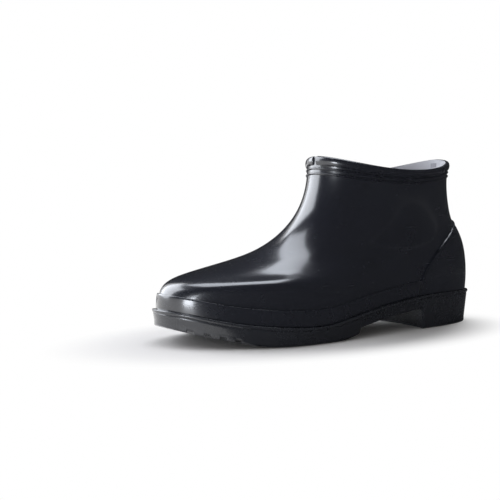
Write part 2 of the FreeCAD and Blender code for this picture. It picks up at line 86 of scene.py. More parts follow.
form = {
    # level, nose y and rise, tail y and rise, nose swing, seven half widths from nose to tail, three outer extras
    "rings": [
        (0.00, -138, 0, 139, 0, -9, 62, 60, 58, 41, 36, 50, 62, 3, 4, 3),
        (0.12, -137, 12, 140, 13, -9, 62, 59, 55, 40, 36, 50, 62, 3, 4, 3),
        (0.24, -128, 21, 139, 29, -9, 57, 54, 49, 38, 36, 49, 58, 2, 3, 2),
        (0.36, -104, 26.5, 135, 43, -8, 49, 46, 42, 36, 37, 46, 52, 0, 1, 0),
        (0.52, -60, 37.5, 126, 57, -4, 40, 40, 38, 36, 38, 42, 46, 0, 0, 0),
        (0.68, -26, 61, 120, 72, -1, 38, 38, 37, 38, 39, 41, 42, 0, 0, 0),
        (0.84, -12, 88, 117, 88, 0, 40, 40, 39, 40, 40, 41, 42, 0, 0, 0),
        (1.00, -9.5, 109.5, 117, 106, 0, 42, 42, 41, 41, 42, 43, 44, 0, 0, 0),
    ],
    "fairing": 0.03,           # how far along the levels the rings are blended into each other
    "ankle": 0.45,             # below this level the rings follow the sole's top edge, above it the collar's dip
    "flatLevel": 0.1,          # below this level the walls are turned to stand out level
    "fullness": 5.4,           # how far the vamp's outer shoulder swells, at this level and this angle from the nose
    "fullLevel": 0.182,
    "fullAngle": 54,
    "fullSpan": (0.075, 27),
    "fullStart": (0.05, 0.12),
    "fullWay": (0.6, -0.35, 0.72),
    "collarDip": 9.5,
    "innerRimDrop": 2.0,
    "upperWall": 1.8,
    "puffWall": 1.1,
    "liningWall": 1.4,
    "gap": 0.1,
}
soleForm = {
    "halfLength": 142.5,
    "widths": (66, 63.5, 61.5, 45, 40, 54, 66),
    "fuller": (3.5, 4.5, 3),
    "toeSwing": -9.0,
    "topY": (-142.5, -130, -110, -85, -60, -38, -18, 4, 28, 52, 78, 105, 142.5),
    "topZ": (25.5, 23, 18.6, 15, 13.2, 12.8, 15, 18.6, 22, 24.6, 26.5, 27, 26.5),
    "toeLift": 13.5,
    "toeCurve": 1.7,
    "flatStart": -70.0,
    "flatEnd": -28.0,
    "stepY": -4.0,
    "stepLean": 3.0,
    "waist": 10.0,
    "arcRise": 0.45,           # how much of the way to the waist the arc climbs, and how steeply it starts
    "arcStart": 0.12,
    "breastY": 70.5,
    "breastLean": 1.2,
    "breastHollow": 5.0,
    "treadDepth": 2.0,
    "barGap": 4.0,
    "barPitch": 9.0,
    "land": 6.0,
}

aroundStops = np.radians(np.arange(0, 181, 30))
aroundWeights = curveThrough(aroundStops, np.eye(7), flatEnds=True)
ringTable = np.array(form["rings"], float)
rawRings = curveThrough(ringTable[:, 0], ringTable[:, 1:])


def fairedRings():
    # the ring spline, averaged along the levels with a bell-shaped weight so that highlights run smoothly
    levels = np.linspace(-0.3, 1.3, 1601)
    rows = rawRings(levels)
    pitch = levels[1] - levels[0]
    reach = round(4 * form["fairing"] / pitch)
    spread = np.arange(-reach, reach + 1) * pitch
    bell = np.exp(-0.5 * (spread / form["fairing"]) ** 2)
    bell /= bell.sum()
    smooth = np.stack([np.convolve(np.pad(column, reach, mode="edge"), bell, mode="valid") for column in rows.T], -1)
    return lambda level: np.stack([np.interp(level, levels, column) for column in smooth.T], -1)


ringValues = fairedRings()
soleTop = curveThrough(soleForm["topY"], soleForm["topZ"])


def footOval(angle, nose, tail, swing, widths, fuller):
    # y runs from nose to tail as a cosine; x is the blended half width times the sine, plus the nose's swing
    turn = np.abs(angle)
    side = np.where(angle >= 0, 1.0, -1.0)
    weights = aroundWeights(turn)
    width = (weights * widths).sum(-1) + side * (weights[..., 2:5] * fuller).sum(-1)
    along = (1 - np.cos(turn)) / 2
    return swing * (1 - along) ** 2 + side * width * np.sin(turn), nose + (tail - nose) * along, along


def wrapAngle(angle):
    # the same angle, between minus and plus a half turn
    return (np.asarray(angle, float) + math.pi) % (2 * math.pi) - math.pi


def soleOval(angle):
    # x and y of the outsole's outline, which is one foot-shaped ring
    half = soleForm["halfLength"]
    widths, fuller = np.array(soleForm["widths"], float), np.array(soleForm["fuller"], float)
    return footOval(wrapAngle(angle), -half, half, soleForm["toeSwing"], widths, fuller)[:2]


def allRound(count):
    # this many even angles round the boot, as a column
    return np.linspace(0, 2 * math.pi, count, endpoint=False)[:, None]


ovalX = soleOval(np.radians(np.arange(360)))[0]
centreX = (ovalX.max() + ovalX.min()) / 2


def skin(level, angle):
    # a foot-shaped ring at each level: low rings follow the sole's top edge, high ones the collar's dip, and the
    # vamp's outer shoulder swells by a bell in level and angle
    level, angle = np.broadcast_arrays(np.asarray(level, float), wrapAngle(angle))
    ring = ringValues(level)
    x, y, along = footOval(angle, ring[..., 0], ring[..., 2], ring[..., 4], ring[..., 5:12], ring[..., 12:15])
    noseSeat, tailSeat = soleTop(ringTable[0, 1]), soleTop(ringTable[0, 3])
    base = noseSeat + (tailSeat - noseSeat) * along
    rise = ring[..., 1] + (ring[..., 3] - ring[..., 1]) * along
    ankle = form["ankle"]
    low = np.maximum(1 - level / ankle, 0.0) ** 2
    high = np.maximum((level - ankle) / (1 - ankle), 0.0) ** 1.5
    dip = form["collarDip"] * np.sin(angle) ** 2 + form["innerRimDrop"] * np.maximum(-np.sin(angle), 0.0)
    z = base + rise + (soleTop(y) - base) * low - dip * high
    offLevel = (level - form["fullLevel"]) / form["fullSpan"][0]
    offAngle = (np.degrees(angle) - form["fullAngle"]) / form["fullSpan"][1]
    start, span = form["fullStart"]
    swell = form["fullness"] * np.exp(-offLevel ** 2 - offAngle ** 2) * ease((level - start) / span)
    return np.stack([x - centreX, y, z + form["gap"]], -1) + swell[..., None] * np.array(form["fullWay"])


def layer(level, angle, offset):
    # the skin moved along its normal, which is kept level where the wall meets the sole
    level, angle, offset = np.broadcast_arrays(level, angle, offset)
    step = 1e-3
    up = skin(level + step, angle) - skin(level - step, angle)
    across = skin(level, angle + step) - skin(level, angle - step)
    normal = np.cross(across, up)
    normal /= np.linalg.norm(normal, axis=-1, keepdims=True)
    normal[..., 2] *= ease(level / form["flatLevel"])
    normal /= np.linalg.norm(normal, axis=-1, keepdims=True)
    return skin(level, angle) + normal * offset[..., None]


def levelAt(height, angle):
    # halves the span of levels until the skin is this high above the sole's top edge
    height, angle = np.broadcast_arrays(np.asarray(height, float), np.asarray(angle, float))
    low, high = np.full(height.shape, -0.05), np.full(height.shape, 1.0)
    base = skin(np.zeros(height.shape), angle)[..., 2]
    halvings = 26
    for _ in range(halvings):
        middle = (low + high) / 2
        under = skin(middle, angle)[..., 2] - base < height
        low, high = np.where(under, middle, low), np.where(under, high, middle)
    return (low + high) / 2


def belowRim(drop):
    # the level this many millimetres below the rim, counted by the height of the topmost levels at the side
    top = 0.05
    rise = np.linalg.norm(skin(1.0, math.pi / 2) - skin(1.0 - top, math.pi / 2))
    return 1 - top * np.asarray(drop, float) / rise


sheetShape = {
    # centre and half angle in degrees, and top level
    "toe": (0, 64, 0.36),
    "heel": (180, 56, 0.56),
    "narrowing": 0.25,
    "margin": (20, 0.1),       # how far past a sheet, in degrees and levels, the lining keeps its distance
    "fade": (0.2, 0.08),       # and over which angle and levels it comes back to the upper
}


def reinforced(level, angle):
    # 1 over the toe's or heel's sheet and its margin, easing to 0 away from both
    turn = np.abs(wrapAngle(angle))
    (marginAngle, marginLevel), (fadeAngle, fadeLevel) = sheetShape["margin"], sheetShape["fade"]
    covers = []
    for centre, halfAngle, top in (sheetShape["toe"], sheetShape["heel"]):
        beside = math.radians(halfAngle + marginAngle) - np.abs(turn - math.radians(centre))
        covers.append(ease((top + marginLevel - level) / fadeLevel) * ease(beside / fadeAngle))
    return np.maximum(*covers)


creaseAngle = 60      # in degrees: steeper edges of the pieces are sharp


def finishMesh(name, points, quads, sharp, uv=None):
    # an object in metres from points in millimetres; its faces are turned round if its signed volume is negative
    mesh = bpy.data.meshes.new(name)
    mesh.vertices.add(len(points))
    mesh.vertices.foreach_set("co", (points * 0.001).astype(np.float32).ravel())
    a, b, c = points[quads[:, 0]], points[quads[:, 1]], points[quads[:, 2]]
    d = points[quads[:, 3]]
    middle = points.mean(0)
    volume = (np.cross(b - a, c - a) * (a - middle)).sum() + (np.cross(c - a, d - a) * (a - middle)).sum()
    if volume < 0:
        quads = quads[:, ::-1]
        uv = None if uv is None else uv[:, ::-1]
    mesh.loops.add(quads.size)
    mesh.loops.foreach_set("vertex_index", quads.ravel().astype(np.int32))
    mesh.polygons.add(len(quads))
    mesh.polygons.foreach_set("loop_start", np.arange(0, quads.size, 4, dtype=np.int32))
    mesh.polygons.foreach_set("use_smooth", np.ones(len(quads), bool))
    mesh.update(calc_edges=True)
    if uv is not None:
        layerUv = mesh.uv_layers.new(name="cloth")
        layerUv.data.foreach_set("uv", (uv * 0.001).astype(np.float32).ravel())
    build, same = bmesh.new(), 1e-7
    build.from_mesh(mesh)
    bmesh.ops.remove_doubles(build, verts=build.verts, dist=same)
    bmesh.ops.dissolve_degenerate(build, edges=build.edges, dist=same)
    build.to_mesh(mesh)
    build.free()
    mesh.set_sharp_from_angle(angle=math.radians(sharp))
    piece = bpy.data.objects.new(name, mesh)
    bpy.context.scene.collection.objects.link(piece)
    return piece


def gridQuads(rows, columns, closedRows, closedColumns):
    # the quads between neighbouring rows and columns, and each corner's row and column; closed ones wrap round
    i = np.arange(rows if closedRows else rows - 1)
    j = np.arange(columns if closedColumns else columns - 1)
    i, j = np.meshgrid(i, j, indexing="ij")
    corners = np.stack([np.stack([i + di, j + dj], -1) for di, dj in ((0, 0), (1, 0), (1, 1), (0, 1))], -2)
    corners = corners.reshape(-1, 4, 2)
    return corners[..., 0] % rows * columns + corners[..., 1] % columns, corners


def loopPiece(name, grid, closedRows=True, uvSize=None):
    # a profile loop (second axis) carried round the boot (first axis); open ends are drawn together to their middle
    if not closedRows:
        first, last = [end.mean(1, keepdims=True) * np.ones_like(end) for end in (grid[:1], grid[-1:])]
        grid = np.concatenate([first, grid, last])
    rows, columns = grid.shape[:2]
    quads, corners = gridQuads(rows, columns, closedRows, True)
    uv = corners / np.array([rows, columns]) * np.array(uvSize) if uvSize else None
    return finishMesh(name, grid.reshape(-1, 3), quads, creaseAngle, uv)


def wallPiece(name, outer, inner, sharp=creaseAngle):
    # two open grids, outside and inside, joined along their four borders
    rows, columns = outer.shape[:2]
    loop = np.concatenate([outer, inner[:, ::-1]], 1)
    body, _ = gridQuads(rows, 2 * columns, False, True)
    last = (rows - 1) * 2 * columns
    j = np.arange(columns - 1)
    back = 2 * columns - 1 - j
    first = np.stack([j, j + 1, back - 1, back], -1)
    end = np.stack([last + j + 1, last + j, last + back, last + back - 1], -1)
    return finishMesh(name, loop.reshape(-1, 3), np.concatenate([body, first, end]), sharp)


def place(piece, slotName, *nodes):
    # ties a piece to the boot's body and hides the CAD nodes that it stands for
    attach(piece, "root")
    if nodes:
        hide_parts(*nodes)
    return piece


upperShape = {"around": 360, "rows": 150, "innerRows": 40}


def makeUpper():
    # up the outside on the skin, then down the inside a wall's thickness further in
    up, down = np.linspace(0, 1, upperShape["rows"]), np.linspace(1, 0, upperShape["innerRows"])
    offset = np.concatenate([0 * up, 0 * down - form["upperWall"]])
    return loopPiece("upper_shell", layer(np.concatenate([up, down]), allRound(upperShape["around"]), offset))


upper = place(makeUpper(), "gloss_rubber", "upper")
print("upper made")


foxingShape = {
    "height": 11.5,
    "wall": 1.5,
    "seat": -0.4,
    "hollow": 0.08,
    "start": 0.25,             # height of its foot above the sole's top edge
    "foot": [(0.25, 0.5), (0.3, 0.15), (0.7, 0.0)],      # height above the sole, depth below the face
    "edge": [(0.8, 0.0), (0.45, 0.08), (0.2, 0.25), (0.05, 0.5), (0.0, 0.8)],    # below the top, below the face
    "endGap": 0.25,            # in degrees, to the counter
    "around": 400,
}
counterShape = {
    "top": 57.0,
    "shoulder": 31.0,
    "foot": 0.3,
    "fall": 1.25,
    "round": 5.0,
    "halfAngle": 61.8,
    "lean": 9.0,
    "seat": -0.5,
    "rows": 50,
    "columns": 80,
}
# a raised strip up the back of the counter; its side is the width over which it rises
backStrip = {"halfWidth": 6.2, "rise": 0.6, "foot": 26.0, "footLength": 4.0, "side": 0.8, "heelRadius": 40.0}


def counterEdge(height):
    # angle of the counter's front edge, which leans back by the square of its height
    lean = counterShape["lean"] * (np.maximum(height, 0.0) / counterShape["shoulder"]) ** 2
    return np.radians(180 - counterShape["halfAngle"] + lean)


def makeFoxing():
    # from foot to top edge: rounded foot, a face hollowed by a sine, rounded edge; then down its back on the upper
    s = foxingShape
    top, wall, seat = s["height"], s["wall"], s["seat"]
    low, high = s["foot"][-1][0], top - s["edge"][0][0]
    face = [(low + (high - low) * t, wall - s["hollow"] * math.sin(math.pi * t)) for t in np.linspace(0.08, 0.92, 12)]
    back = [(top, 0.05), (top - 0.3, seat), (top / 2, seat), (s["start"], seat)]
    profile = ([(z, wall - depth) for z, depth in s["foot"]] + face
               + [(top - down, wall - depth) for down, depth in s["edge"]] + back)
    height, offset = np.array(profile).T
    across = np.linspace(-1, 1, s["around"])[:, None]
    angle = (counterEdge(height) - math.radians(s["endGap"])) * across
    return loopPiece("foxing_band", layer(levelAt(height, angle), angle, offset), closedRows=False)


foxing = place(makeFoxing(), "gloss_rubber", "foxing_strip")
print("foxing made")


def counterTop(across):
    # height of the counter's top edge: it falls from the back as one less the cosine, and its corners are rounded
    half = math.pi - counterEdge(counterShape["shoulder"])
    fall = ((1 - np.cos(half * across)) / (1 - np.cos(half))) ** counterShape["fall"]
    drop = counterShape["top"] - counterShape["shoulder"] - counterShape["round"]
    return counterShape["top"] - drop * fall - counterShape["round"] * across ** 8


edgeShape = {   # across the counter's edge: distance in from the edge, height above the upper
    "reach": np.array([0.0, 0.06, 0.16, 0.35, 0.7, 1.2, 1.6, 1.85, 2.05, 2.3, 2.7, 3.1, 3.5, 4.0, 4.5, 5.5]),
    "rise": np.array([-0.1, 0.7, 1.1, 1.22, 1.27, 1.26, 1.15, 0.95, 0.72, 0.55, 0.52, 0.65, 0.85, 0.98, 1.03, 1.05]),
}


def makeCounter():
    # columns at set distances in from both front edges and even shares between them; rows likewise below the top
    s, strip = counterShape, backStrip
    fine = np.concatenate([np.linspace(0, 0.4, 5)[:-1], np.linspace(0.4, 4.6, 22)])
    count = len(fine)
    besideStrip = np.linspace(0.045, 0.08, 14)
    middle = np.concatenate([np.linspace(0, 1, s["columns"])[1:-1], 0.5 - besideStrip, 0.5 + besideStrip])
    middle = np.unique(np.round(middle, 5))
    rowShare = np.concatenate([np.linspace(0, 1, s["rows"]), np.ones(count)])[:, None]
    rowReach = np.concatenate([np.full(s["rows"], fine[-1]), fine[::-1]])[:, None]
    across = np.linspace(-1, 1, 2 * count + len(middle))[None, :]
    turn = 0.01
    # the first pass finds each row's height, the second its angles
    for _ in range(2):
        top = counterTop(np.clip(across, -1, 1))
        height = s["foot"] + (top - rowReach - s["foot"]) * rowShare
        edge = counterEdge(s["shoulder"] * height / np.maximum(top, 1.0))
        moved = skin(levelAt(height, edge + turn), edge + turn) - skin(levelAt(height, edge), edge)
        radius = np.linalg.norm(moved, axis=-1) / turn
        near = (edge + fine[-1] / radius)[:, count:-count]
        angle = np.concatenate([edge[:, :count] + fine / radius[:, :count],
                                near + 2 * (math.pi - near) * middle,
                                2 * math.pi - edge[:, -count:] - fine[::-1] / radius[:, -count:]], 1)
        across = (angle - math.pi) / (math.pi - edge)
    fromSide = np.concatenate([fine, np.full(len(middle), np.inf), fine[::-1]])
    fromTop = np.maximum(counterTop(np.clip(across, -1, 1)) - height, 0)
    inward = np.minimum(fromSide, fromTop)
    side = strip["side"]
    onStrip = ease((strip["halfWidth"] + side / 2 - np.abs(angle - math.pi) * strip["heelRadius"]) / side)
    onStrip *= ease((height - strip["foot"]) / strip["footLength"]) * ease(inward / (side / 2))
    rise = np.interp(inward, edgeShape["reach"], edgeShape["rise"]) + strip["rise"] * onStrip
    level = levelAt(height, angle)
    return wallPiece("counter_patch", layer(level, angle, rise), layer(level, angle, s["seat"]))


counter = place(makeCounter(), "gloss_rubber", "heel_counter")
print("counter made")


collarShape = {
    # round the band's cross-section: distance below the rim, height above the skin
    "binding": [(4.9, -0.2), (4.85, 0.4), (4.65, 0.8), (4.2, 1.15), (3.5, 1.42), (2.7, 1.56), (1.9, 1.54), (1.2, 1.4),
                (0.6, 1.15), (0.15, 0.8), (-0.15, 0.35), (-0.3, -0.2), (-0.33, -0.8), (-0.22, -1.3), (0.05, -1.7),
                (0.5, -1.9), (1.2, -1.8), (3.0, -0.8)],
    "notch": 2.6,
    "core": (1.6, -1.4),       # drop and offset of the point that the profile shrinks to at the band's two ends
    "endRadius": 1.2,
    "endSize": 0.35,
    "endHeight": 0.3,          # share of its height that the shrinking leaves alone
    # distance of each ridge's upper edge below the rim, and its width
    "ridges": {"upper": (6.0, 1.4), "lower": (8.8, 1.4)},
    "ridgeRise": 0.95,
    "ridgeSeat": -0.3,
    "around": 400,
}


def makeBinding():
    # the profile from one side of the notch round to the other; near both ends it shrinks by a quarter circle
    s = collarShape
    drops, offsets = np.array(s["binding"]).T
    turn = 0.01
    radius = np.linalg.norm(skin(1.0, turn) - skin(1.0, 0.0)) / turn
    start = (s["notch"] / 2 + np.append(np.linspace(0, 1.6, 9), 3.0)) / radius
    between = np.linspace(start[-1], 2 * math.pi - start[-1], s["around"])[1:-1]
    angle = np.concatenate([start, between, 2 * math.pi - start[::-1]])[:, None]
    fromEnd = np.minimum(angle, 2 * math.pi - angle) * radius - s["notch"] / 2
    full = np.sqrt(1 - (1 - np.clip(fromEnd / s["endRadius"], 0, 1)) ** 2) * (1 - s["endSize"]) + s["endSize"]
    coreDrop, coreOffset = s["core"]
    offset = coreOffset + (offsets - coreOffset) * full
    drop = coreDrop + (drops - coreDrop) * (s["endHeight"] + (1 - s["endHeight"]) * full)
    return loopPiece("collar_bead", layer(belowRim(drop), angle, offset), closedRows=False)


def makeRidge(name, drop, width):
    # a strip of this width whose height is a sine raised to a power, which makes it fuller
    s = np.linspace(0, 1, 13)
    profile = np.stack([drop + width * (1 - s), collarShape["ridgeRise"] * np.sin(math.pi * s) ** 0.8], -1)
    seat = collarShape["ridgeSeat"]
    drops, offsets = np.concatenate([profile, [(drop, seat), (drop + width, seat)]]).T
    return loopPiece(name, layer(belowRim(drops), allRound(collarShape["around"]), offsets))


binding = place(makeBinding(), "gloss_rubber", "collar_binding")
ridgeUpper = place(makeRidge("collar_ridge_upper", *collarShape["ridges"]["upper"]), "gloss_rubber",
                   "collar_rib_upper")
ridgeLower = place(makeRidge("collar_ridge_lower", *collarShape["ridges"]["lower"]), "gloss_rubber",
                   "collar_rib_lower")
print("collar made")


liningShape = {
    "foot": 0.03,
    "rows": 90,
    "outerRows": 30,
    "around": 240,
    "cloth": (400.0, 230.0),
    "tapeLevels": (0.5, 0.975),
    "tapeHalfAngle": 5.0,
    "tapeWall": 0.6,
    "tapeSeat": 0.3,
}
bedShape = {
    "inset": 5.7,
    "bedLow": 2.2,
    "bedHigh": 6.2,
    "coverHigh": 7.3,
    "crown": 0.8,
    "crownStart": 1.2,         # turn from the nose, in radians, where the edge starts to rise, and over how much
    "dip": 0.3,
    "rows": 140,
}


bedCrease = 50        # in degrees, for the footbed and the sheets


def insideUpper(level, angle):
    # offset of the lining's outer face: inside the upper's wall, and inside the sheets where they are
    return -(form["upperWall"] + form["gap"] + form["puffWall"] * reinforced(level, angle))


def makeLining():
    # up its inner face from the foot to the rim, and down its outer face
    up = np.linspace(liningShape["foot"], 1.0, liningShape["rows"])
    down = np.linspace(1.0, liningShape["foot"], liningShape["outerRows"])
    level, angle = np.concatenate([up, down]), allRound(liningShape["around"])
    wall = np.concatenate([0 * up + form["liningWall"], 0 * down])
    return loopPiece("lining_knit", layer(level, angle, insideUpper(level, angle) - wall), uvSize=liningShape["cloth"])


def makeTape():
    # a strip up the lining's back seam, with its sides rounded off by a quarter circle
    level = np.linspace(*liningShape["tapeLevels"], 60)[None, :]
    half = math.radians(liningShape["tapeHalfAngle"])
    angle = math.pi + half * np.linspace(-1, 1, 13)[:, None]
    inside = insideUpper(level, angle) - form["liningWall"]
    edge = np.clip((1 - np.abs(angle - math.pi) / half) * 6, 0, 1)
    proud = liningShape["tapeWall"] * np.sqrt(edge * (2 - edge))
    return wallPiece("lining_tape", layer(level, angle, inside - proud),
                     layer(level, angle, inside + liningShape["tapeSeat"]))


def inwards(step):
    # square to each step along an outline, level, one millimetre long and pointing inside it
    step = step / np.linalg.norm(step, axis=-1, keepdims=True)
    return np.stack([-step[:, 1], step[:, 0]], -1)


def makeBed(name, low, high, crown):
    # a cross-section at each turn from nose to tail: flat below, rounded sides, slightly raised at its edge
    turn = np.linspace(0, math.pi, bedShape["rows"])
    step = 1e-3
    sides = []
    for side in (1, -1):
        angle = side * turn
        outline = skin(0.0, angle)[..., :2]
        inward = inwards(skin(0.0, angle + step)[..., :2] - skin(0.0, angle - step)[..., :2])
        edge = ((0.5, low), (0.05, low + 0.5), (0.0, (low + high) / 2), (0.2, high - 0.35), (0.8, high))
        sides.append([(outline + inward * (bedShape["inset"] + depth), z) for depth, z in edge])
    right, left = sides
    a, b = right[-1][0], left[-1][0]
    onTop = []
    for s in np.linspace(0, 1, 17)[1:-1]:
        raised = (2 * s - 1) ** 2 * ease((turn - bedShape["crownStart"]) / bedShape["crownStart"])
        onTop.append((a + (b - a) * s, high + crown * (raised - bedShape["dip"] * math.sin(math.pi * s))))
    around = right + onTop + left[::-1]
    loops = [np.concatenate([where, (soleTop(where[:, 1]) + z)[:, None]], -1) for where, z in around]
    sections = np.stack(loops, 1)
    quads, _ = gridQuads(*sections.shape[:2], False, True)
    return finishMesh(name, sections.reshape(-1, 3), quads, bedCrease)


def makeSheet(name, centre, halfAngle, top):
    # toe puff or heel stiffener: a thin wall between the upper and the lining, narrower towards its top
    s, t = np.linspace(0, 1, 40)[None, :], np.linspace(-1, 1, 60)[:, None]
    level = liningShape["foot"] + (top - liningShape["foot"]) * s
    angle = math.radians(centre) + math.radians(halfAngle) * t * (1 - sheetShape["narrowing"] * s * s)
    outside = -(form["upperWall"] + form["gap"])
    inside = outside - form["puffWall"] + form["gap"]
    return wallPiece(name, layer(level, angle, outside), layer(level, angle, inside), bedCrease)


puff = place(makeSheet("toe_puff_sheet", *sheetShape["toe"]), "stiffener", "toe_puff")
stiffener = place(makeSheet("heel_stiffener_sheet", *sheetShape["heel"]), "stiffener", "heel_stiffener")
lining = place(makeLining(), "knit", "lining_sock")
tape = place(makeTape(), "knit", "lining_seam_tape")
bed = place(makeBed("footbed_foam", bedShape["bedLow"], bedShape["bedHigh"], 0.0), "foam", "footbed")
cover = place(makeBed("footbed_knit", bedShape["bedHigh"] + form["gap"], bedShape["coverHigh"], bedShape["crown"]),
              "knit", "footbed_cover")
print("lining and footbed made")


outsoleShape = {
    # inset from the outline and height below the top edge, then inset past the wall and height above the underside
    "lip": [(4.5, 0.0), (0.75, 0.0), (0.35, -0.08), (0.1, -0.32), (0.0, -0.75), (0.0, -1.6), (0.12, -2.0),
            (0.42, -2.28), (0.78, -2.42), (0.95, -2.7), (0.86, -3.1), (0.75, -3.6)],
    "foot": [(0.0, 2.0), (0.06, 1.3), (0.28, 0.65), (0.65, 0.22), (1.25, 0.0)],
    "taper": 0.7,
    "heelTaper": 1.9,
    "heelSpan": (95, 40),      # where the heel's taper starts and over what length it comes in
    "lipSeat": 2.0,            # how far the tread's land starts in from the outline
    "barEdge": (0.12, 0.5),    # how far a groove's side starts outside it, and the side's length
    "crease": 42,
    "openPart": 0.74,          # grooves nearer the toe than this share of the half length run out through the edge
}


def underside(y):
    # height along the side view: toe spring as a power of the distance, flat tread, arc, step, waist, breast and heel
    s = soleForm
    spring = s["toeLift"] * (np.maximum(s["flatStart"] - y, 0.0) / (s["flatStart"] + s["halfLength"])) ** s["toeCurve"]
    waist = soleTop(y) - s["waist"]
    stepFoot = (soleTop(s["stepY"]) - s["waist"]) * s["arcRise"]
    t = np.clip((y - s["flatEnd"]) / (s["stepY"] - s["flatEnd"]), 0, 1)
    arc = stepFoot * t * (s["arcStart"] + (1 - s["arcStart"]) * t)
    step = ease((y - s["stepY"]) / s["stepLean"])
    z = spring + arc + (waist - arc) * step
    return z * (1 - ease((y - s["breastY"]) / s["breastLean"]))


def grooves():
    # where each groove starts, at an even pitch under the forefoot and the heel, and whether it runs out of the edge
    s = soleForm
    starts, opened = [], []
    y = -s["halfLength"] + s["barPitch"]
    while y + s["barGap"] < s["flatEnd"]:
        starts.append(y)
        opened.append(y < -outsoleShape["openPart"] * s["halfLength"])
        y += s["barPitch"]
    y = s["breastY"] + s["breastHollow"] + s["land"]
    while y + s["barGap"] < s["halfLength"] - s["land"]:
        starts.append(y)
        opened.append(False)
        y += s["barPitch"]
    return np.array(starts), np.array(opened)


def makeOutsole():
    # a cross-section at each station along the boot: down the outer wall, across the tread and up the inner wall
    s, shape = soleForm, outsoleShape
    starts, opened = grooves()
    wallSteps = np.array([-0.12, 0.12, 0.3, 0.5])
    stations = [-s["halfLength"] * np.cos(np.linspace(0, math.pi, 170)),
                (starts[:, None] + wallSteps).ravel(), (starts[:, None] + s["barGap"] - wallSteps).ravel(),
                np.linspace(s["stepY"] - 0.4, s["stepY"] + s["stepLean"] + 0.4, 12),
                np.linspace(s["breastY"] - 0.2, s["breastY"] + 1.4, 13)]
    y = np.unique(np.round(np.concatenate(stations), 3))
    y = y[np.concatenate([[True], np.diff(y) > 0.05])]
    y[0], y[-1] = -s["halfLength"], s["halfLength"]
    turn = np.arccos(np.clip(-y / s["halfLength"], -1, 1))
    margin, side = shape["barEdge"]
    dig = [ease((y - start + margin) / side) * ease((start + s["barGap"] + margin - y) / side) for start in starts]
    dig = np.array(dig) * s["treadDepth"]
    closedDig, openDig = dig.sum(0), (dig * opened[:, None]).sum(0)
    bottom = underside(y)
    edgeBottom = bottom + openDig
    topZ = soleTop(y)
    heelStart, heelSpan = shape["heelSpan"]
    taper = shape["taper"] + (shape["heelTaper"] - shape["taper"]) * ease((y - heelStart) / heelSpan)
    lip, foot = shape["lip"], shape["foot"]
    turnStep = 1e-3
    columns = {}
    for side in (1, -1):
        angle = side * turn
        x0, y0 = soleOval(angle)
        ahead, behind = soleOval(angle + turnStep), soleOval(angle - turnStep)
        inward = inwards(np.stack([ahead[0] - behind[0], ahead[1] - behind[1]], -1))
        outline = np.stack([x0 - centreX, y0], -1)
        made = [(outline + inward * inset, topZ + z) for inset, z in lip]
        wallTop, wallLow = topZ + lip[-1][1], bottom + foot[0][1] + s["treadDepth"] + 0.2
        for share in np.linspace(0, 1, 7)[1:]:
            inset = lip[-1][0] + taper * share
            made.append((outline + inward * inset[:, None], wallTop + (wallLow - wallTop) * share))
        for inset, z in foot:
            deep = lip[-1][0] + taper + inset
            made.append((outline + inward * deep[:, None], edgeBottom + z))
        columns[side] = [np.concatenate([where, z[:, None]], -1) for where, z in made]
    loop = list(columns[1])
    a, b = columns[1][-1], columns[-1][-1]
    width = np.linalg.norm(a - b, axis=-1)
    land = (s["land"] - shape["lipSeat"]) / np.maximum(width, 1e-6)
    inner = bottom + closedDig
    hollow = ease((y - s["breastY"] + 0.4) / 0.2) * (1 - ease((y - s["breastY"] - 1) / 8))
    # shares of the width across the tread, and whether the grooves are cut there
    border = [(np.minimum(land * f, 0.3 + 0.05 * f), dug) for f, dug in ((0.5, False), (1.0, False), (1.12, True))]
    inmost = border[-1][0]
    stops = border + [(inmost + (1 - 2 * inmost) * m, True) for m in np.linspace(0, 1, 19)[1:-1]]
    stops += [(1 - share, dug) for share, dug in border[::-1]]
    for share, dug in stops:
        where = a + (b - a) * share[:, None]
        where[:, 2] = inner if dug else edgeBottom
        where[:, 1] += hollow * s["breastHollow"] * np.maximum(1 - (2 * share - 1) ** 2, 0)
        loop.append(where)
    loop += columns[-1][::-1]
    loop += [columns[-1][0] + (columns[1][0] - columns[-1][0]) * share for share in (0.25, 0.5, 0.75)]
    grid = np.stack(loop, 1)
    quads, _ = gridQuads(*grid.shape[:2], False, True)
    return finishMesh("sole_moulding", grid.reshape(-1, 3), quads, shape["crease"])


outsole = place(makeOutsole(), "sole_rubber", "outsole")
print("outsole made")


class Wire:
    # a shader socket that can stand in a sum; the other side may be a number
    def __init__(self, tree, made, socket):
        self.tree, self.made, self.socket = tree, made, socket

    def maths(self, operation, *sides):
        return self.tree.node("ShaderNodeMath", {"operation": operation}, dict(enumerate(sides)))

    def __add__(self, other): return self.maths("ADD", self, other)
    def __radd__(self, other): return self.maths("ADD", other, self)
    def __sub__(self, other): return self.maths("SUBTRACT", self, other)
    def __rsub__(self, other): return self.maths("SUBTRACT", other, self)
    def __mul__(self, other): return self.maths("MULTIPLY", self, other)
    def __rmul__(self, other): return self.maths("MULTIPLY", other, self)
    def __truediv__(self, other): return self.maths("DIVIDE", self, other)
    def __pow__(self, other): return self.maths("POWER", self, other)
    def __abs__(self): return self.maths("ABSOLUTE", self)
    def sine(self): return self.maths("SINE", self)
    def part(self): return self.maths("FRACT", self)
    def least(self, other): return self.maths("MINIMUM", self, other)
    def most(self, other): return self.maths("MAXIMUM", self, other)


